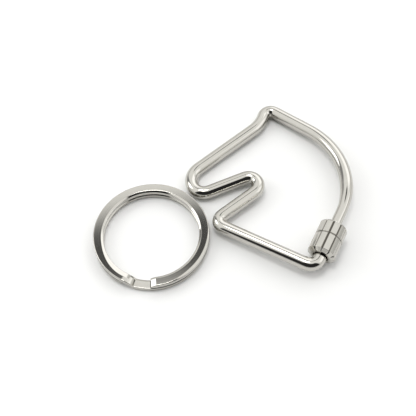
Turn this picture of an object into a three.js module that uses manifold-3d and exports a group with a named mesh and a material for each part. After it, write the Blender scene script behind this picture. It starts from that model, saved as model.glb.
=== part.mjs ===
// Keyring carabiner: one steel wire bent into the outline of a horse's head, its gate gap closed by a knurled
// screw sleeve, and the flat split ring that goes with it, all lying on a table top. Millimetres, +Z up.
// The wire is drawn in its own flat plane: +X along the horse's neck edge, +Y towards the ear.

import * as THREE from 'three';
import { mergeVertices } from 'three/addons/utils/BufferGeometryUtils.js';
import Module from 'manifold-3d';

const wasm = await Module();
wasm.setup();

// ---- driving dimensions ----

const WIRE_RADIUS = 1.75;
const WIRE_SIDES = 16;
const BEND_STEP = THREE.MathUtils.degToRad(12);
const BEND_STEP_LENGTH = 2.5;

// Corners of the wire's centreline, in order from the gate, with the radius each one is bent to.
const OUTLINE = {
  mane: { at: [27.45, 35.9], radius: 21.8 },
  ear: { at: [-4.6, 40.5], radius: 2.05 },
  forehead: { at: [-3.4, 34.3], radius: 10 },
  nose: { at: [-12.9, 10.05], radius: 5.1 },
  lip: { at: [-7.7, 5.1], radius: 3.35 },
  mouthTop: { at: [2.7, 18.4], radius: 2.55 },
  mouthBottom: { at: [6.25, 15], radius: 3 },
  jaw: { at: [0, 0], radius: 2.05 },
  base: { at: [29.05, 0], radius: 2.35 },
};

// Places along the gate's axis, counted from the base corner up towards the mane.
const SLEEVE_START = 3.4;
const SLEEVE_LENGTH = 9.35;
const THREAD_START = 4.7;
const STUB_END = 6.2;
const ROD_END = 9.5;

// The wire's upper end is thinned to a neck that the sleeve slides up, then swells back to full size.
const NECK_RADIUS = 1.43;
const NECK_LENGTH = 9.6;
const TAPER_LENGTH = 7.5;
const THREAD_PITCH = 0.6;
const THREAD_TURNS = 2;
const THREAD_DEPTH = 0.3;
const TIP_CHAMFER = 0.3;

const SLEEVE_RADIUS = 3.7;
const SLEEVE_MOUTH_CONE = { width: 1.2, length: 0.8 };
const SLEEVE_CHAMFER = 0.3;
const SLEEVE_SIDES = 48;
const MOUTH_RADIUS = 2.1;
const MOUTH_DEPTH = 1;
const THREAD_BORE_RADIUS = 1.88;
const THREAD_BORE_DEPTH = 3.65;
const GUIDE_BORE_RADIUS = 1.56;
const WAIST_GROOVE_AT = 5.45;
const WAIST_GROOVE_WIDTH = 0.55;
const WAIST_GROOVE_DEPTH = 0.3;
const FLUTE_COUNT = 11;
const FLUTE_WIDTH = 0.6;
const FLUTE_DEPTH = 0.38;
const FLUTE_PHASE = THREE.MathUtils.degToRad(25.5);

const RING_OUTER_RADIUS = 15;
const RING_BAND_WIDTH = 2.6;
const RING_COIL_HEIGHT = 1.4;
const RING_COIL_GAP = 0.2;
const RING_INNER_BEVEL = { width: 0.55, drop: 0.27 };
const RING_OUTER_BEVEL = { width: 0.16, drop: 0.14 };
const RING_END_BEVEL = { length: 1.25, thickness: 0.7 };
const RING_JOG_HALF = THREE.MathUtils.degToRad(6);
const RING_JOG_POWER = 2.5;
const RING_UPPER_END = THREE.MathUtils.degToRad(24);
const RING_LOWER_END = THREE.MathUtils.degToRad(6);
const RING_JOG_ANGLE = THREE.MathUtils.degToRad(-114);
const RING_STEPS_PER_TURN = 72;
const RING_JOG_STEPS = 8;

// Where the two loose pieces lie on the table.
const JAW_POSITION = [1.06, -5.86];
const CARABINER_TURN = THREE.MathUtils.degToRad(-30.65);
const RING_POSITION = [-14.89, -8.54];

const NICKEL = { color: 0xc9c7c0, metalness: 1, roughness: 0.16 };
const NICKEL_DARK = { color: 0xa9a7a1, metalness: 1, roughness: 0.24 };

const WELD_DISTANCE = 1e-4;

// ---- solids ----

function toManifold(geometry) {
  const bare = geometry.clone();
  bare.deleteAttribute('normal');
  bare.deleteAttribute('uv');
  const merged = mergeVertices(bare, WELD_DISTANCE);
  const mesh = new wasm.Mesh({
    numProp: 3,
    vertProperties: new Float32Array(merged.attributes.position.array),
    triVerts: new Uint32Array(merged.index.array),
  });
  return new wasm.Manifold(mesh);
}

function toGeometry(manifold) {
  const mesh = manifold.getMesh();
  const geometry = new THREE.BufferGeometry();
  geometry.setAttribute('position', new THREE.BufferAttribute(mesh.vertProperties, 3));
  geometry.setIndex(new THREE.BufferAttribute(mesh.triVerts, 1));
  geometry.computeVertexNormals();
  return geometry;
}

function metalMesh(name, geometry, finish) {
  const mesh = new THREE.Mesh(geometry, new THREE.MeshStandardMaterial(finish));
  mesh.name = name;
  return mesh;
}

// A path whose sections stand at chosen stations, each with its own two section axes, whose lengths scale it.
class StationPath extends THREE.Curve {
  constructor(stations) {
    super();
    this.stations = stations;
  }

  getSpacedPoints() {
    return this.stations.map((station) => station.point);
  }

  computeFrenetFrames() {
    return {
      normals: this.stations.map((station) => station.normal),
      binormals: this.stations.map((station) => station.binormal),
    };
  }
}

function sweep(section, stations) {
  const extrudePath = new StationPath(stations);
  return new THREE.ExtrudeGeometry(section, { extrudePath, steps: stations.length - 1 });
}

// Revolves [radius, height] points, closed back on the first one, about +Z.
function revolve(profile, sides) {
  const points = [...profile, profile[0]].map(([radius, height]) => new THREE.Vector2(radius, height));
  return new THREE.LatheGeometry(points, sides).rotateX(Math.PI / 2);
}

// ---- the wire's plane ----

function corner(name) {
  return new THREE.Vector2(...OUTLINE[name].at);
}

const BASE = corner('base');
const GATE_AXIS = corner('mane').sub(BASE).normalize();

function onGate(station) {
  return BASE.clone().addScaledVector(GATE_AXIS, station);
}

// The centre of a bend, and the angles at which its arc starts and ends.
function bend(before, at, after, radius) {
  const toBefore = before.clone().sub(at).normalize();
  const toAfter = after.clone().sub(at).normalize();
  const halfAngle = Math.acos(toBefore.dot(toAfter)) / 2;
  const bisector = toBefore.clone().add(toAfter).normalize();
  const centre = at.clone().addScaledVector(bisector, radius / Math.sin(halfAngle));
  const tangentLength = radius / Math.tan(halfAngle);
  const from = at.clone().addScaledVector(toBefore, tangentLength).sub(centre).angle();
  const to = at.clone().addScaledVector(toAfter, tangentLength).sub(centre).angle();
  const sweepAngle = THREE.MathUtils.euclideanModulo(to - from + Math.PI, 2 * Math.PI) - Math.PI;
  return { centre, from, sweepAngle, radius };
}

function place(point, tangent) {
  return { point: new THREE.Vector3(point.x, point.y, 0), tangent };
}

function bendPlaces(before, at, after, bendRadius) {
  const { centre, from, sweepAngle, radius } = bend(before, at, after, bendRadius);
  const arc = Math.abs(sweepAngle);
  const steps = Math.ceil(Math.max(arc / BEND_STEP, (arc * radius) / BEND_STEP_LENGTH));
  const turn = Math.sign(sweepAngle);
  return Array.from({ length: steps + 1 }, (_, step) => {
    const angle = from + (sweepAngle * step) / steps;
    const outward = new THREE.Vector2(Math.cos(angle), Math.sin(angle));
    const tangent = new THREE.Vector2(-outward.y * turn, outward.x * turn);
    return place(centre.clone().addScaledVector(outward, radius), tangent);
  });
}

// Every bend of the outline in order, from the gate round to the gate.
function outlinePlaces() {
  const corners = [onGate(ROD_END), ...Object.keys(OUTLINE).map(corner), onGate(STUB_END)];
  return Object.values(OUTLINE).flatMap(({ radius }, index) => (
    bendPlaces(corners[index], corners[index + 1], corners[index + 2], radius)
  ));
}

// ---- frame wire ----

// Thickness of the neck and of the taper above it, by distance along the wire from its upper end.
function neckRadius(distance) {
  return THREE.MathUtils.lerp(NECK_RADIUS, WIRE_RADIUS, THREE.MathUtils.smoothstep(distance, NECK_LENGTH,
    NECK_LENGTH + TAPER_LENGTH));
}

function withRadii(places) {
  let distance = 0;
  return places.map((item, index) => {
    distance += index > 0 ? item.point.distanceTo(places[index - 1].point) : 0;
    return { ...item, radius: neckRadius(distance) };
  });
}

// The stub's thread, drawn as crests and roots at its pitch, and its chamfered tip.
function stubPlaces() {
  const places = [];
  for (let turn = 0; turn < THREAD_TURNS; turn += 1) {
    const crest = THREAD_START + turn * THREAD_PITCH;
    places.push({ ...place(onGate(crest), GATE_AXIS), radius: WIRE_RADIUS });
    const root = onGate(crest + THREAD_PITCH / 2);
    places.push({ ...place(root, GATE_AXIS), radius: WIRE_RADIUS - THREAD_DEPTH });
  }
  places.push({ ...place(onGate(STUB_END - TIP_CHAMFER), GATE_AXIS), radius: WIRE_RADIUS });
  places.push({ ...place(onGate(STUB_END), GATE_AXIS), radius: WIRE_RADIUS - TIP_CHAMFER });
  return places;
}

function unitCircle() {
  return new THREE.Shape(Array.from({ length: WIRE_SIDES }, (_, side) => (
    new THREE.Vector2(1, 0).rotateAround(new THREE.Vector2(), (2 * Math.PI * side) / WIRE_SIDES)
  )));
}

function frameWire() {
  const rodTangent = GATE_AXIS.clone();
  const rodTip = { ...place(onGate(ROD_END), rodTangent), radius: NECK_RADIUS - TIP_CHAMFER };
  const rod = withRadii([place(onGate(ROD_END + TIP_CHAMFER), rodTangent), ...outlinePlaces()]);
  const stations = [rodTip, ...rod, ...stubPlaces()].map(({ point, tangent, radius }) => ({
    point,
    normal: new THREE.Vector3(0, 0, radius),
    binormal: new THREE.Vector3(tangent.y, -tangent.x, 0).multiplyScalar(radius),
  }));
  return metalMesh('frame_wire', sweep(unitCircle(), stations), NICKEL);
}

// ---- screw sleeve ----

function sleeveBlank() {
  return revolve([
    [MOUTH_RADIUS, 0],
    [SLEEVE_RADIUS - SLEEVE_MOUTH_CONE.width, 0],
    [SLEEVE_RADIUS, SLEEVE_MOUTH_CONE.length],
    [SLEEVE_RADIUS, WAIST_GROOVE_AT - WAIST_GROOVE_WIDTH / 2],
    [SLEEVE_RADIUS - WAIST_GROOVE_DEPTH, WAIST_GROOVE_AT],
    [SLEEVE_RADIUS, WAIST_GROOVE_AT + WAIST_GROOVE_WIDTH / 2],
    [SLEEVE_RADIUS, SLEEVE_LENGTH - SLEEVE_CHAMFER],
    [SLEEVE_RADIUS - SLEEVE_CHAMFER, SLEEVE_LENGTH],
    [GUIDE_BORE_RADIUS, SLEEVE_LENGTH],
    [GUIDE_BORE_RADIUS, THREAD_BORE_DEPTH],
    [THREAD_BORE_RADIUS, THREAD_BORE_DEPTH],
    [THREAD_BORE_RADIUS, MOUTH_DEPTH],
    [MOUTH_RADIUS, MOUTH_DEPTH],
  ], SLEEVE_SIDES);
}

// A V-shaped cutter, one of the flutes between the sleeve's ribs.
function fluteCutter(angle) {
  const mouth = SLEEVE_RADIUS + FLUTE_DEPTH;
  const section = new THREE.Shape();
  section.moveTo(SLEEVE_RADIUS - FLUTE_DEPTH, 0);
  section.lineTo(mouth, -FLUTE_WIDTH);
  section.lineTo(mouth, FLUTE_WIDTH);
  section.closePath();
  const cutter = new THREE.ExtrudeGeometry(section, { depth: 2 * SLEEVE_LENGTH, bevelEnabled: false });
  return cutter.translate(0, 0, -SLEEVE_LENGTH / 2).rotateZ(angle);
}

function screwSleeve() {
  let solid = toManifold(sleeveBlank());
  for (let index = 0; index < FLUTE_COUNT; index += 1) {
    const angle = FLUTE_PHASE + (2 * Math.PI * index) / FLUTE_COUNT;
    solid = solid.subtract(toManifold(fluteCutter(angle)));
  }
  const sleeve = metalMesh('screw_sleeve', toGeometry(solid), NICKEL_DARK);
  const foot = onGate(SLEEVE_START);
  sleeve.position.set(foot.x, foot.y, 0);
  const alongGate = new THREE.Vector3(GATE_AXIS.x, GATE_AXIS.y, 0);
  sleeve.quaternion.setFromUnitVectors(new THREE.Vector3(0, 0, 1), alongGate);
  return sleeve;
}

// ---- split ring ----

// Height of the band's middle: an upper coil, a short jog down, and a lower coil under it.
// The band starts down gently from the upper coil and ends in a crease on the lower one.
function ringHeight(angle) {
  const lower = RING_COIL_HEIGHT / 2;
  const upper = lower + RING_COIL_HEIGHT + RING_COIL_GAP;
  const jog = (angle - (2 * Math.PI - RING_JOG_HALF)) / (2 * RING_JOG_HALF);
  return THREE.MathUtils.lerp(upper, lower, THREE.MathUtils.clamp(jog, 0, 1) ** RING_JOG_POWER);
}

// Every angle at which the band has a section; the first and last stretches are the bevels of its free ends.
function ringAngles() {
  const turn = 2 * Math.PI;
  const bevel = RING_END_BEVEL.length / (RING_OUTER_RADIUS - RING_BAND_WIDTH / 2);
  const ends = [RING_UPPER_END + bevel, 2 * turn - RING_LOWER_END - bevel];
  const jog = [turn - RING_JOG_HALF, turn + RING_JOG_HALF];
  const stepsOver = (from, to) => Math.round((RING_STEPS_PER_TURN * (to - from)) / turn);
  const stretches = [
    [RING_UPPER_END, ends[0], 1],
    [ends[0], jog[0], stepsOver(ends[0], jog[0])],
    [jog[0], jog[1], RING_JOG_STEPS],
    [jog[1], ends[1], stepsOver(jog[1], ends[1])],
    [ends[1], 2 * turn - RING_LOWER_END, 1],
  ];
  const angles = [RING_UPPER_END];
  for (const [from, to, steps] of stretches) {
    for (let step = 1; step <= steps; step += 1) {
      angles.push(from + ((to - from) * step) / steps);
    }
  }
  return angles;
}

// The band's section, as height against distance outward, with a wide bevel inside and a narrow one outside.
function ringSection() {
  const halfHeight = RING_COIL_HEIGHT / 2;
  const halfWidth = RING_BAND_WIDTH / 2;
  const upperHalf = [
    [halfHeight - RING_INNER_BEVEL.drop, -halfWidth],
    [halfHeight, RING_INNER_BEVEL.width - halfWidth],
    [halfHeight, halfWidth - RING_OUTER_BEVEL.width],
    [halfHeight - RING_OUTER_BEVEL.drop, halfWidth],
  ];
  const lowerHalf = upperHalf.map(([height, outward]) => [-height, outward]).reverse();
  return new THREE.Shape([...upperHalf, ...lowerHalf].map((point) => new THREE.Vector2(...point)));
}

// Thins one end of the band on its outer face: the top of the upper coil, the underside of the lower one.
function thinEnd(station, outerFace) {
  const kept = RING_END_BEVEL.thickness / RING_COIL_HEIGHT;
  station.normal.multiplyScalar(kept);
  station.point.z -= (outerFace * RING_COIL_HEIGHT * (1 - kept)) / 2;
}

function splitRing() {
  const middle = RING_OUTER_RADIUS - RING_BAND_WIDTH / 2;
  const stations = ringAngles().map((angle) => {
    const outward = new THREE.Vector3(Math.cos(angle), Math.sin(angle), 0);
    return {
      point: outward.clone().multiplyScalar(middle).setZ(ringHeight(angle)),
      normal: new THREE.Vector3(0, 0, 1),
      binormal: outward,
    };
  });
  thinEnd(stations[0], 1);
  thinEnd(stations[stations.length - 1], -1);
  const ring = metalMesh('split_ring', sweep(ringSection(), stations), NICKEL);
  ring.rotation.z = RING_JOG_ANGLE;
  ring.position.set(...RING_POSITION, 0);
  return ring;
}

// ---- how it lies ----

function bendCentre(before, name, after) {
  return bend(corner(before), corner(name), corner(after), OUTLINE[name].radius).centre;
}

// The wire's plane rises from a line that touches the ear and the nose to the thicker sleeve, whose upper end
// also rests on the table. Returns the turn, about that line's direction, that lifts the sleeve.
function restingTurn() {
  const earCentre = bendCentre('mane', 'ear', 'forehead');
  const noseCentre = bendCentre('forehead', 'nose', 'lip');
  const span = earCentre.clone().sub(noseCentre);
  const lean = Math.acos((OUTLINE.ear.radius - OUTLINE.nose.radius) / span.length());
  const uphill = new THREE.Vector2(1, 0).rotateAround(new THREE.Vector2(), span.angle() - lean);
  const supportLine = earCentre.dot(uphill) - OUTLINE.ear.radius;
  const reach = onGate(SLEEVE_START + SLEEVE_LENGTH - SLEEVE_CHAMFER).dot(uphill) - supportLine;
  const tilt = Math.asin((SLEEVE_RADIUS - WIRE_RADIUS) / reach);
  return new THREE.Quaternion().setFromAxisAngle(new THREE.Vector3(uphill.y, -uphill.x, 0), tilt);
}

function restOnTable(object) {
  object.updateMatrixWorld(true);
  object.position.z -= new THREE.Box3().setFromObject(object, true).min.z;
}

const carabiner = new THREE.Group();
carabiner.add(frameWire(), screwSleeve());
carabiner.quaternion.setFromAxisAngle(new THREE.Vector3(0, 0, 1), CARABINER_TURN).multiply(restingTurn());
carabiner.position.set(...JAW_POSITION, 0);

const ring = splitRing();
restOnTable(carabiner);
restOnTable(ring);

const keyring = new THREE.Group();
keyring.add(carabiner, ring);
const centre = new THREE.Box3().setFromObject(keyring, true).getCenter(new THREE.Vector3());
keyring.position.set(-centre.x, -centre.y, 0);

export default keyring;
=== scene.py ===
"""A horse-head wire carabiner with its screw sleeve and flat split ring, nickel plated, on a white table.

Lengths named *_MM are millimetres; everything handed to Blender is in metres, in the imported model's frame.
"""
import math

import bpy
import numpy as np
from mathutils import Matrix, Quaternion, Vector


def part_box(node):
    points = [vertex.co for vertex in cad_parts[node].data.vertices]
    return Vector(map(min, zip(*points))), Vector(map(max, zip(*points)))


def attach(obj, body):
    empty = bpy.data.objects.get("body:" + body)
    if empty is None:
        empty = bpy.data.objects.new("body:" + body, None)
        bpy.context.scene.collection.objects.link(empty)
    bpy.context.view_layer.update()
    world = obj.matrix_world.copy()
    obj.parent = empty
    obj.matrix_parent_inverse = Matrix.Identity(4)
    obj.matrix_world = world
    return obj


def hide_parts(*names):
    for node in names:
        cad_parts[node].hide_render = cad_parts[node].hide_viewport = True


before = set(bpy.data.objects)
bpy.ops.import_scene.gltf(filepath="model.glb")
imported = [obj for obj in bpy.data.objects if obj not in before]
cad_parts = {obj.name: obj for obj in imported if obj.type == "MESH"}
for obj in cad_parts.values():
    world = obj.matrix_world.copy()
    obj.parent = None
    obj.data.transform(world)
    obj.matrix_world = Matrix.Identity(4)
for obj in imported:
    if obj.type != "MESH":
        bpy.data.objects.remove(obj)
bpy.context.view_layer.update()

MM = 0.001

# ---- driving dimensions ----
# As in the CAD, except MOUTH_CONE_MM and FLUTE_DEPTH_MM, which differ slightly, and RIB_FLATNESS, END_CUT_MM,
# JOG_LEAD and RECESS_DISH_MM, which are detail the CAD doesn't have.

WIRE_RADIUS_MM = 1.75
OUTLINE_MM = [          # corner of the centreline, bend radius
    ((27.45, 35.9), 21.8),    # mane
    ((-4.6, 40.5), 2.05),     # ear
    ((-3.4, 34.3), 10.0),     # forehead
    ((-12.9, 10.05), 5.1),    # nose
    ((-7.7, 5.1), 3.35),      # lip
    ((2.7, 18.4), 2.55),      # mouth, upper side
    ((6.25, 15.0), 3.0),      # mouth, lower side
    ((0.0, 0.0), 2.05),       # jaw
    ((29.05, 0.0), 2.35),     # base of the neck
]
SLEEVE_START_MM = 3.4
SLEEVE_LENGTH_MM = 9.35
STUB_END_MM = 6.2
ROD_END_MM = 9.5
NECK_RADIUS_MM = 1.43
NECK_LENGTH_MM = 9.6
TAPER_LENGTH_MM = 7.5
THREAD_START_MM = 4.7
THREAD_PITCH_MM = 0.6
THREAD_DEPTH_MM = 0.3
TIP_CHAMFER_MM = 0.3

SLEEVE_RADIUS_MM = 3.7
MOUTH_RADIUS_MM = 2.1
MOUTH_DEPTH_MM = 1.0
THREAD_BORE_RADIUS_MM = 1.88
THREAD_BORE_DEPTH_MM = 3.65
GUIDE_BORE_RADIUS_MM = 1.56
WAIST_AT_MM = 5.45
MOUTH_CONE_MM = (1.05, 0.65)      # width, length
FLUTE_COUNT = 11
FLUTE_DEPTH_MM = 0.4
FLUTE_HALF_WIDTH_MM = 0.3
FLUTE_PHASE = math.radians(25.5)
RIB_FLATNESS = 0.65               # 0 for round ribs, 1 for flat facets

RING_OUTER_MM = 15.0
BAND_WIDTH_MM = 2.6
COIL_HEIGHT_MM = 1.4
COIL_GAP_MM = 0.2
INNER_BEVEL_MM = (0.55, 0.27)     # width, drop
OUTER_BEVEL_MM = (0.16, 0.14)
END_BEVEL_MM = (1.25, 0.7)        # length, thickness left
END_CUT_MM = 0.3                  # how far the cut face leans out below the bevel
JOG_HALF = math.radians(6)
JOG_LEAD = math.radians(2.5)      # how much sooner the inner edge steps down
RECESS_DISH_MM = 0.18             # how much lower the inner side lies between the jog and the free end
JOG_POWER = 2.5                   # over 1: starts gently and ends in a crease
UPPER_END = math.radians(24)
LOWER_END = math.radians(6)
JOG_ANGLE = math.radians(-114)

TABLE_TURN = math.radians(-30.65)

# ---- fine-surface settings ----

WIRE_STEP_MM = 0.22
WIRE_SIDES = 56
BEND_EASE_MM = 0.4
POLISH = 0.993          # plated pieces are drawn this much under the CAD's radii, so they stay inside it
SLEEVE_COLUMNS_PER_FLUTE = 28
RING_STEP = math.radians(1.0)
SHARP_ANGLE = math.radians(28)
NICKEL = (0.575, 0.56, 0.52)
GROOVE_SHADE = (0.10, 0.092, 0.085)     # painted shade: near-black colour for the grooves and for the faces between the ring's coils


# ---- mesh helpers ----

def grid_mesh(name, rings, cap_ends):
    """A mesh from closed rings of points, given as an array (ring, side, xyz) in millimetres."""
    count, sides = rings.shape[:2]
    points = [tuple(p * MM) for p in rings.reshape(-1, 3)]
    faces = []
    last = count - 1 if cap_ends else count
    for i in range(last):
        here, there = i * sides, ((i + 1) % count) * sides
        for j in range(sides):
            k = (j + 1) % sides
            faces.append((here + j, here + k, there + k, there + j))
    if cap_ends:
        faces.append(tuple(range(sides - 1, -1, -1)))
        faces.append(tuple(range((count - 1) * sides, count * sides)))
    mesh = bpy.data.meshes.new(name)
    mesh.from_pydata(points, [], faces)
    mesh.validate()
    mesh.shade_smooth()
    mesh.set_sharp_from_angle(angle=SHARP_ANGLE)
    piece = bpy.data.objects.new(name, mesh)
    bpy.context.scene.collection.objects.link(piece)
    return piece


def set_grain(piece, grain):
    """Stores a seam-free coordinate in millimetres whose first axis runs with the metal's grain."""
    attribute = piece.data.attributes.new("grain", "FLOAT_VECTOR", "POINT")
    attribute.data.foreach_set("vector", grain.astype(np.float32).ravel())


def set_groove_shade(piece, depth):
    """Stores how deep each point lies in a groove, from 0 to 1, as the weight of the painted shade there."""
    attribute = piece.data.attributes.new("recess", "FLOAT", "POINT")
    attribute.data.foreach_set("value", depth.astype(np.float32).ravel())


def round_grain(along, angles, radius):
    """Grain coordinate on a round piece: distance along it, then the place round its section."""
    across = radius * np.stack([np.cos(angles), np.sin(angles)], axis=-1)
    grain = np.empty((len(along), len(angles), 3))
    grain[..., 0] = along[:, None]
    grain[..., 1:] = across[None]
    return grain


def smoothstep(value, low, high):
    t = np.clip((value - low) / (high - low), 0.0, 1.0)
    return t * t * (3 - 2 * t)


# ---- the wire's plane ----

CORNERS = [np.array(at) for at, _ in OUTLINE_MM]
BASE = CORNERS[-1]
GATE_AXIS = (CORNERS[0] - BASE) / np.linalg.norm(CORNERS[0] - BASE)


def on_gate(station):
    return BASE + GATE_AXIS * station


def bend(before, at, after, radius):
    """Centre and the two end angles of the arc that rounds a corner."""
    to_before = (before - at) / np.linalg.norm(before - at)
    to_after = (after - at) / np.linalg.norm(after - at)
    half = math.acos(float(to_before @ to_after)) / 2
    bisector = (to_before + to_after) / np.linalg.norm(to_before + to_after)
    centre = at + bisector * radius / math.sin(half)
    start = at + to_before * radius / math.tan(half) - centre
    end = at + to_after * radius / math.tan(half) - centre
    first = math.atan2(start[1], start[0])
    turn = (math.atan2(end[1], end[0]) - first + math.pi) % (2 * math.pi) - math.pi
    return centre, first, turn


def wire_centreline():
    """Evenly spaced points along the whole wire, with the bends eased into the straights."""
    corners = [on_gate(ROD_END_MM), *CORNERS, on_gate(STUB_END_MM)]
    path = [corners[0]]
    for i, (_, radius) in enumerate(OUTLINE_MM):
        centre, first, turn = bend(*corners[i:i + 3], radius)
        steps = max(4, math.ceil(abs(turn) * radius / 0.05))
        angles = first + turn * np.linspace(0, 1, steps + 1)
        path.extend(centre + radius * np.stack([np.cos(angles), np.sin(angles)], axis=-1))
    path.append(corners[-1])
    path = np.array(path)
    lengths = np.concatenate([[0], np.cumsum(np.linalg.norm(np.diff(path, axis=0), axis=1))])
    count = round(lengths[-1] / WIRE_STEP_MM)
    even = np.linspace(0, lengths[-1], count + 1)
    line = np.stack([np.interp(even, lengths, path[:, k]) for k in range(2)], axis=-1)
    reach = round(3 * BEND_EASE_MM / WIRE_STEP_MM)
    offsets = np.arange(-reach, reach + 1) * WIRE_STEP_MM
    weights = np.exp(-0.5 * (offsets / BEND_EASE_MM) ** 2)
    weights /= weights.sum()
    eased = np.stack([np.convolve(line[:, k], weights, mode="same") for k in range(2)], axis=-1)
    eased[:reach], eased[-reach:] = line[:reach], line[-reach:]
    return eased, even


def resting_turn():
    """The tilt of the wire's plane, which touches the table at the ear, the nose and the thicker sleeve."""
    ear = bend(CORNERS[0], CORNERS[1], CORNERS[2], OUTLINE_MM[1][1])[0]
    nose = bend(CORNERS[2], CORNERS[3], CORNERS[4], OUTLINE_MM[3][1])[0]
    span = ear - nose
    lean = math.acos((OUTLINE_MM[1][1] - OUTLINE_MM[3][1]) / np.linalg.norm(span))
    angle = math.atan2(span[1], span[0]) - lean
    uphill = np.array([math.cos(angle), math.sin(angle)])
    support = ear @ uphill - OUTLINE_MM[1][1]
    reach = on_gate(SLEEVE_START_MM + SLEEVE_LENGTH_MM - TIP_CHAMFER_MM) @ uphill - support
    tilt = math.asin((SLEEVE_RADIUS_MM - WIRE_RADIUS_MM) / reach)
    return Quaternion((uphill[1], -uphill[0], 0), tilt)


CARABINER_TURN = Quaternion((0, 0, 1), TABLE_TURN) @ resting_turn()


def to_table(points):
    """Turns points from the wire's plane to how the carabiner lies, before it is shifted into place."""
    turn = np.array(CARABINER_TURN.to_matrix())
    return points @ turn.T


# ---- frame wire ----

def wire_radii(distance, total):
    neck = NECK_RADIUS_MM + (WIRE_RADIUS_MM - NECK_RADIUS_MM) * smoothstep(
        distance, NECK_LENGTH_MM, NECK_LENGTH_MM + TAPER_LENGTH_MM)
    start_tip = np.clip(TIP_CHAMFER_MM - distance, 0, None)
    end_tip = np.clip(TIP_CHAMFER_MM - (total - distance), 0, None)
    return neck * POLISH - start_tip - end_tip


def thread_cut(distance, total, angles):
    """Depth of the stub's V thread, by distance along the wire and angle round it."""
    station = STUB_END_MM - (total - distance)
    turns = (station[:, None] - THREAD_START_MM) / THREAD_PITCH_MM - angles[None, :] / (2 * math.pi)
    vee = np.abs(turns % 1.0 - 0.5) * 2
    threaded = smoothstep(station, THREAD_START_MM, THREAD_START_MM + THREAD_PITCH_MM / 2)
    return THREAD_DEPTH_MM * (1 - vee) * threaded[:, None]


def make_wire():
    line, distance = wire_centreline()
    total = distance[-1]
    fine = np.arange(total - STUB_END_MM + THREAD_START_MM - 0.1, total, 0.04)
    keep = distance < fine[0]
    every = np.concatenate([distance[keep], fine, [total]])
    line = np.stack([np.interp(every, distance, line[:, k]) for k in range(2)], axis=-1)
    tangents = np.gradient(line, every, axis=0)
    tangents /= np.linalg.norm(tangents, axis=1)[:, None]
    angles = np.linspace(0, 2 * math.pi, WIRE_SIDES, endpoint=False)
    radii = wire_radii(every, total)[:, None] - thread_cut(every, total, angles)
    side = np.stack([tangents[:, 1], -tangents[:, 0], np.zeros(len(every))], axis=-1)
    up = np.array([0.0, 0.0, 1.0])
    centre = np.column_stack([line, np.zeros(len(every))])
    rings = (centre[:, None]
             + (radii * np.cos(angles))[..., None] * up
             + (radii * np.sin(angles))[..., None] * side[:, None])
    rings = to_table(rings)
    low, high = (np.array(v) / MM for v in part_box("frame_wire"))
    shift = (low + high) / 2 - (rings.min((0, 1)) + rings.max((0, 1))) / 2
    piece = grid_mesh("wire_frame_fine", rings + shift, cap_ends=True)
    set_grain(piece, round_grain(every, angles, WIRE_RADIUS_MM))
    return piece, shift


# ---- screw sleeve ----

def flute_depth(angle):
    """How deep the V flutes are at an angle, and how far flutes and flattened ribs lie below full radius."""
    pitch = 2 * math.pi / FLUTE_COUNT
    from_flute = np.abs((angle - FLUTE_PHASE + pitch / 2) % pitch - pitch / 2)
    rib_edge = pitch / 2 - FLUTE_HALF_WIDTH_MM / SLEEVE_RADIUS_MM
    from_rib = np.minimum(pitch / 2 - from_flute, rib_edge)
    flattened = RIB_FLATNESS * SLEEVE_RADIUS_MM * (1 - math.cos(rib_edge) / np.cos(from_rib))
    arc = from_flute * SLEEVE_RADIUS_MM
    depth = FLUTE_DEPTH_MM * np.clip(1 - arc / FLUTE_HALF_WIDTH_MM, 0, None) ** 0.9
    return depth, depth + flattened


def softened(points, radii, steps=4):
    """A closed profile with its corners rounded, and a point just beyond each to keep the flats flat."""
    out = []
    for i, (point, radius) in enumerate(zip(points, radii)):
        here = np.array(point, float)
        if radius == 0:
            out.append(here)
            continue
        arms = [np.array(points[k], float) - here for k in (i - 1, (i + 1) % len(points))]
        before, after = (arm / np.linalg.norm(arm[:2]) for arm in arms)
        out.append(here + before * radius * 1.4)
        for t in np.linspace(0, 1, steps):
            out.append(here + before * radius * (1 - t) ** 2 + after * radius * t ** 2)
        out.append(here + after * radius * 1.4)
    return np.array(out)


def sleeve_profile():
    rim, waist = 0.28, 0.22              # rounding of the upper rim, half width of the waist groove
    waist_depth, waist_floor = 0.3, 0.06
    bore_chamfer = 0.25
    cone_width, cone_length = MOUTH_CONE_MM
    outer, length = SLEEVE_RADIUS_MM * POLISH, SLEEVE_LENGTH_MM
    corners = [
        (MOUTH_RADIUS_MM, 0, 0),
        (outer - cone_width, 0, 0),
        (outer, cone_length, 1),
        (outer, WAIST_AT_MM - waist, 1),
        (outer - waist_depth, WAIST_AT_MM - waist_floor, 0.6),
        (outer - waist_depth, WAIST_AT_MM + waist_floor, 0.6),
        (outer, WAIST_AT_MM + waist, 1),
        (outer, length - 0.3, 1),
        (outer - 0.02, length, 1),
        (GUIDE_BORE_RADIUS_MM + bore_chamfer, length, 0),
        (GUIDE_BORE_RADIUS_MM, length - bore_chamfer, 0),
        (GUIDE_BORE_RADIUS_MM, THREAD_BORE_DEPTH_MM, 0),
        (THREAD_BORE_RADIUS_MM, THREAD_BORE_DEPTH_MM, 0),
        (THREAD_BORE_RADIUS_MM, MOUTH_DEPTH_MM, 0),
        (MOUTH_RADIUS_MM, MOUTH_DEPTH_MM, 0),
    ]
    rounding = [0.04, 0.05, 0.06, 0.06, 0.03, 0.03, 0.06, 0, rim, 0.04, 0.04, 0, 0, 0, 0]
    return softened(corners, rounding)


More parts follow.
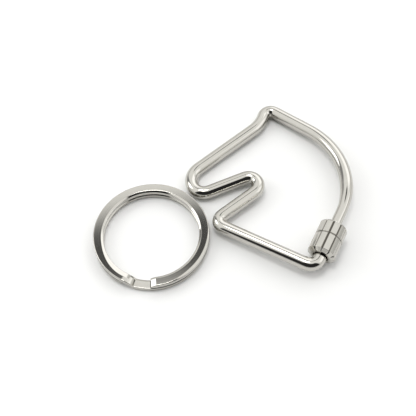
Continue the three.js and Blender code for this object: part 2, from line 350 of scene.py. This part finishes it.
def make_sleeve(shift):
    profile = sleeve_profile()
    columns = FLUTE_COUNT * SLEEVE_COLUMNS_PER_FLUTE
    angles = FLUTE_PHASE + np.linspace(0, 2 * math.pi, columns, endpoint=False)
    flutes, fall = flute_depth(angles)
    radii = profile[:, 0][:, None] - profile[:, 2][:, None] * fall[None, :]
    gate = np.array([*GATE_AXIS, 0.0])
    across = np.array([GATE_AXIS[1], -GATE_AXIS[0], 0.0])
    up = np.array([0.0, 0.0, 1.0])
    foot = np.array([*on_gate(SLEEVE_START_MM), 0.0])
    rings = (foot
             + profile[:, 1][:, None, None] * gate
             + (radii * np.cos(angles))[..., None] * across
             + (radii * np.sin(angles))[..., None] * up)
    rings = to_table(rings) + shift
    piece = grid_mesh("sleeve_fine", rings, cap_ends=False)
    set_grain(piece, round_grain(profile[:, 1], angles, SLEEVE_RADIUS_MM))
    # Painted shade: the flutes and the waist groove get a dark colour by their depth.
    outside = profile[:, 2]
    waist = np.clip(1 - np.abs(profile[:, 1] - WAIST_AT_MM) / 0.2, 0, 1)
    set_groove_shade(piece, outside[:, None] * np.maximum(waist[:, None], flutes[None, :] / FLUTE_DEPTH_MM))
    return piece


# ---- split ring ----

def band_section(inner_width, outer_width):
    """The rolled band's cross-section, (outward, up), for given widths of its two bevels."""
    half_width, half_height = BAND_WIDTH_MM / 2, COIL_HEIGHT_MM / 2
    inner_drop = INNER_BEVEL_MM[1] * (inner_width / INNER_BEVEL_MM[0]) ** 0.75
    upper = [
        (half_width, half_height - OUTER_BEVEL_MM[1]),
        (half_width - outer_width, half_height),
        (inner_width - half_width, half_height),
        (-half_width, half_height - inner_drop),
    ]
    lower = [(x, -y) for x, y in reversed(upper)]
    return softened(upper + lower, [0.1, 0.08, 0.06, 0.1, 0.1, 0.06, 0.08, 0.1])


def ring_sweep():
    """Angles from the jog at which the band's section stands, close together where it steps down."""
    turn = 2 * math.pi
    bevel = END_BEVEL_MM[0] / (RING_OUTER_MM - BAND_WIDTH_MM / 2)
    first, last = UPPER_END + bevel, 2 * turn - LOWER_END - bevel
    soft = RING_STEP / 8
    coils = np.arange(first + RING_STEP, last - RING_STEP / 2, RING_STEP)
    crease = turn + JOG_HALF
    jog = np.append(np.arange(turn - 1.6 * JOG_HALF, crease - soft / 2, RING_STEP / 4), [crease, crease + soft])
    return np.concatenate([[UPPER_END, UPPER_END + soft, first - soft, first, first + soft],
                           coils[coils < jog[0]], jog, coils[coils > jog[-1]],
                           [last - soft, last, last + soft, 2 * turn - LOWER_END - soft, 2 * turn - LOWER_END]])


def make_ring():
    turn = 2 * math.pi
    sweep = ring_sweep()
    middle = RING_OUTER_MM - BAND_WIDTH_MM / 2
    inner_widths = INNER_BEVEL_MM[0] + 0.85 * smoothstep(sweep, math.radians(300), math.radians(350))
    inner_widths[sweep > turn] = INNER_BEVEL_MM[0]
    outer_widths = OUTER_BEVEL_MM[0] + 0.45 * (smoothstep(sweep, math.radians(35), math.radians(70))
                                               - smoothstep(sweep, math.radians(95), math.radians(125)))
    sections = np.array([band_section(*widths) for widths in zip(inner_widths, outer_widths)])
    across, up = sections[..., 0], sections[..., 1]
    lower = COIL_HEIGHT_MM / 2
    upper = lower + COIL_HEIGHT_MM + COIL_GAP_MM
    lead = JOG_LEAD * (0.5 - across / BAND_WIDTH_MM)
    lead = lead * np.clip((turn + JOG_HALF - sweep) / JOG_HALF, 0, 1)[:, None]
    down = np.clip((sweep[:, None] + lead - turn + JOG_HALF) / (2 * JOG_HALF), 0, 1)
    fall = down ** JOG_POWER
    kept = END_BEVEL_MM[1] / COIL_HEIGHT_MM
    from_end = np.minimum(sweep - UPPER_END, 2 * turn - LOWER_END - sweep) * middle
    thickness = kept + (1 - kept) * np.clip(from_end / END_BEVEL_MM[0], 0, 1)
    outer_face = np.where(sweep < turn, 1.0, -1.0)
    thinned = up * thickness[:, None] - (outer_face * (1 - thickness) * COIL_HEIGHT_MM / 2)[:, None]
    outward = np.stack([np.cos(sweep + JOG_ANGLE), np.sin(sweep + JOG_ANGLE)], axis=-1)
    low, high = (np.array(v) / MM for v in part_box("split_ring"))
    rings = np.empty((*across.shape, 3))
    rings[..., :2] = (low + high)[:2] / 2 + outward[:, None] * (middle + across)[..., None]
    rings[..., 2] = upper + (lower - upper) * fall + thinned * POLISH
    recess = smoothstep(-sweep, -turn - UPPER_END - math.radians(4), -turn - UPPER_END) * (sweep > turn)
    dished = np.where(up > 0, RECESS_DISH_MM * (0.5 - across / BAND_WIDTH_MM), 0)
    rings[..., 2] -= dished * recess[:, None] * fall ** 4
    for end, face in ((0, 1), (-1, -1)):
        lean = (face * thinned[end]).max() - face * thinned[end]
        along = np.array([-outward[end, 1], outward[end, 0]])
        rings[end, :, :2] -= face * along * (lean * END_CUT_MM / END_BEVEL_MM[1])[:, None]
    piece = grid_mesh("ring_fine", rings, cap_ends=True)
    grain = np.stack([np.broadcast_to((sweep * middle)[:, None], across.shape), across, up], axis=-1)
    set_grain(piece, grain)
    # Painted shade: the faces that lie against the other coil get a dark colour.
    facing_coil = np.clip((-outer_face[:, None] * up - COIL_HEIGHT_MM / 2 + 0.2) / 0.12, 0, 1)
    covered = (sweep < turn - 2 * JOG_HALF) | (sweep > turn + UPPER_END)
    set_groove_shade(piece, facing_coil * covered[:, None])
    return piece


# ---- materials ----

class Nodes:
    """A short way to write a material's nodes."""

    def __init__(self, name):
        self.material = bpy.data.materials.new(name)
        self.material.use_nodes = True
        self.tree = self.material.node_tree
        self.shader = self.tree.nodes["Principled BSDF"]

    def add(self, kind, **values):
        node = self.tree.nodes.new(kind)
        for key, value in values.items():
            if key in node.inputs:
                node.inputs[key].default_value = value
            else:
                setattr(node, key, value)
        return node

    def link(self, source, target):
        self.tree.links.new(source, target)

    def noise(self, vector, scale, detail=4.0):
        node = self.add("ShaderNodeTexNoise", Scale=scale, Detail=detail)
        self.link(vector, node.inputs["Vector"])
        return node.outputs["Fac"]

    def mapped(self, vector, scale):
        node = self.add("ShaderNodeMapping")
        node.inputs["Scale"].default_value = scale
        self.link(vector, node.inputs["Vector"])
        return node.outputs["Vector"]

    def span(self, value, low, high):
        node = self.add("ShaderNodeMapRange")
        node.inputs["To Min"].default_value = low
        node.inputs["To Max"].default_value = high
        self.link(value, node.inputs["Value"])
        return node.outputs["Result"]


def nickel(name, color, roughness, grain_scale, bump):
    """Plated metal: drawing lines along the grain, a faint cloudiness, fine bumps, and painted shade where the
    recess attribute marks grooves and covered faces.
    """
    n = Nodes(name)
    grain = n.add("ShaderNodeAttribute", attribute_name="grain").outputs["Vector"]
    lines = n.noise(n.mapped(grain, grain_scale), 1.0)
    cloud = n.noise(grain, 0.6, 2.0)
    tint = n.add("ShaderNodeMix", data_type="RGBA")
    tint.inputs[6].default_value = (*[c * 0.93 for c in color], 1)
    tint.inputs[7].default_value = (*color, 1)
    n.link(n.span(cloud, 0.0, 1.0), tint.inputs[0])
    # Painted shade: the recess weight darkens the base colour to near black in grooves and between the coils.
    recess = n.add("ShaderNodeAttribute", attribute_name="recess").outputs["Fac"]
    shaded = n.add("ShaderNodeMix", data_type="RGBA")
    shaded.inputs[7].default_value = (*GROOVE_SHADE, 1)
    n.link(n.span(recess, 0.0, 0.8), shaded.inputs[0])
    n.link(tint.outputs[2], shaded.inputs[6])
    n.link(shaded.outputs[2], n.shader.inputs["Base Color"])
    rough = n.add("ShaderNodeMath", operation="MULTIPLY_ADD")
    rough.inputs[1].default_value = roughness
    rough.inputs[2].default_value = roughness * 0.5
    n.link(lines, rough.inputs[0])
    n.link(rough.outputs[0], n.shader.inputs["Roughness"])
    n.shader.inputs["Metallic"].default_value = 1.0
    relief = n.add("ShaderNodeBump", Strength=bump, Distance=0.00002)
    n.link(lines, relief.inputs["Height"])
    n.link(relief.outputs["Normal"], n.shader.inputs["Normal"])
    return n.material


# ---- scene ----

def paint(piece, material):
    piece.data.materials.append(material)


wire, carabiner_shift = make_wire()
paint(wire, nickel("polished_wire", NICKEL, 0.06, (0.05, 6, 6), 0.08))
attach(wire, "carabiner")
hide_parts("frame_wire")

sleeve = make_sleeve(carabiner_shift)
paint(sleeve, nickel("turned_sleeve", NICKEL, 0.10, (6, 0.3, 0.3), 0.12))
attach(sleeve, "sleeve")
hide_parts("screw_sleeve")

ring = make_ring()
paint(ring, nickel("rolled_band", NICKEL, 0.07, (0.08, 8, 8), 0.03))
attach(ring, "ring")
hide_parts("split_ring")


def make_floor():
    size = 0.5
    mesh = bpy.data.meshes.new("floor")
    corners = [(-size, -size, 0), (size, -size, 0), (size, size, 0), (-size, size, 0)]
    mesh.from_pydata(corners, [], [(0, 1, 2, 3)])
    floor = bpy.data.objects.new("floor", mesh)
    bpy.context.scene.collection.objects.link(floor)
    material = bpy.data.materials.new("white_table")
    material.use_nodes = True
    shader = material.node_tree.nodes["Principled BSDF"]
    shader.inputs["Base Color"].default_value = (0.93, 0.93, 0.925, 1)
    shader.inputs["Roughness"].default_value = 0.6
    mesh.materials.append(material)


def make_camera():
    """Looks down at the table from 59.6 degrees, with a slight roll."""
    elevation, roll = math.radians(59.58), math.radians(-2.22)
    distance_mm, focal_in_frames = 200.1, 750 / 416
    aim_from_ring_mm = (14.89, 8.54)
    low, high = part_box("split_ring")
    middle = (low + high) / 2
    aim = Vector((middle.x + aim_from_ring_mm[0] * MM, middle.y + aim_from_ring_mm[1] * MM, 0))
    forward = Vector((0, math.cos(elevation), -math.sin(elevation)))
    right, up = Vector((1, 0, 0)), Vector((0, math.sin(elevation), math.cos(elevation)))
    tilted_right = math.cos(roll) * right + math.sin(roll) * up
    tilted_up = -math.sin(roll) * right + math.cos(roll) * up
    data = bpy.data.cameras.new("camera")
    data.sensor_width = 36
    data.lens = 36 * focal_in_frames
    data.clip_start, data.clip_end = 0.01, 10
    camera = bpy.data.objects.new("camera", data)
    turn = Matrix((tilted_right, tilted_up, -forward)).transposed().to_4x4()
    camera.matrix_world = Matrix.Translation(aim - forward * distance_mm * MM) @ turn
    bpy.context.scene.collection.objects.link(camera)
    bpy.context.scene.camera = camera


def make_world():
    """A plain neutral studio: pale walls, two soft boxes, and three darker cards for contrast."""
    panels = [     # bearing, height, half width and half height in degrees, edge softness, grey level
        (60, 35, 25, 15, 5, 1.8),
        (0, 35, 20, 15, 5, 1.6),
        (90, 62, 30, 3, 3, 0.1),
        (145, 30, 10, 22, 5, 0.35),
        (270, 42, 55, 30, 5, 0.03),
    ]
    world = bpy.data.worlds.new("studio")
    bpy.context.scene.world = world
    world.use_nodes = True
    tree = world.node_tree

    def math_node(operation, first, second=None, third=None):
        node = tree.nodes.new("ShaderNodeMath")
        node.operation = operation
        for socket, value in zip(node.inputs, (first, second, third)):
            if isinstance(value, (int, float)):
                socket.default_value = value
            elif value is not None:
                tree.links.new(value, socket)
        return node.outputs[0]

    def smooth_range(value, start, end, low=0.0, high=1.0):
        node = tree.nodes.new("ShaderNodeMapRange")
        node.interpolation_type = "SMOOTHSTEP"
        for name, number in zip(("From Min", "From Max", "To Min", "To Max"), (start, end, low, high)):
            node.inputs[name].default_value = number
        tree.links.new(value, node.inputs["Value"])
        return node.outputs["Result"]

    where = tree.nodes.new("ShaderNodeTexCoord").outputs["Generated"]
    split = tree.nodes.new("ShaderNodeSeparateXYZ")
    tree.links.new(where, split.inputs[0])
    x, y, z = split.outputs
    bearing = math_node("MULTIPLY", math_node("ARCTAN2", y, x), 180 / math.pi)
    height = math_node("MULTIPLY", math_node("ARCSINE", z), 180 / math.pi)
    wall = tree.nodes.new("ShaderNodeMix")
    wall.data_type = "RGBA"
    wall.inputs[6].default_value = (0.62, 0.62, 0.61, 1)
    wall.inputs[7].default_value = (1.2, 1.2, 1.18, 1)
    tree.links.new(smooth_range(height, -12, 45), wall.inputs[0])
    color = wall.outputs[2]
    for azimuth, elevation, half_width, half_height, edge, shade in panels:
        aside = math_node("ABSOLUTE", math_node("WRAP", math_node("SUBTRACT", bearing, azimuth), 180, -180))
        above = math_node("ABSOLUTE", math_node("SUBTRACT", height, elevation))
        mask = math_node("MULTIPLY",
                         smooth_range(aside, half_width + edge, half_width - edge),
                         smooth_range(above, half_height + edge / 2, half_height - edge / 2))
        mix = tree.nodes.new("ShaderNodeMix")
        mix.data_type = "RGBA"
        mix.inputs[7].default_value = (shade, shade, shade, 1)
        tree.links.new(color, mix.inputs[6])
        tree.links.new(mask, mix.inputs[0])
        color = mix.outputs[2]
    background = tree.nodes["Background"]
    tree.links.new(color, background.inputs["Color"])
    background.inputs["Strength"].default_value = 1.0


def soft_box(name, azimuth, elevation, spread, radiance):
    """A square lamp 0.6 m away that covers a given angle and looks back at the parts."""
    distance = 0.6
    a, e = math.radians(azimuth), math.radians(elevation)
    toward = Vector((math.cos(e) * math.cos(a), math.cos(e) * math.sin(a), math.sin(e)))
    data = bpy.data.lights.new(name, "AREA")
    data.size = 2 * distance * math.tan(math.radians(spread))
    data.energy = radiance * math.pi * data.size ** 2
    lamp = bpy.data.objects.new(name, data)
    lamp.location = toward * distance
    lamp.rotation_euler = (-toward).to_track_quat("-Z", "Y").to_euler()
    bpy.context.scene.collection.objects.link(lamp)


make_floor()
make_camera()
make_world()
soft_box("left_soft_box", 165, 34, 13, 2.2)
soft_box("overhead_soft_box", 140, 81, 8, 8.0)
bpy.context.scene.view_settings.view_transform = "Standard"
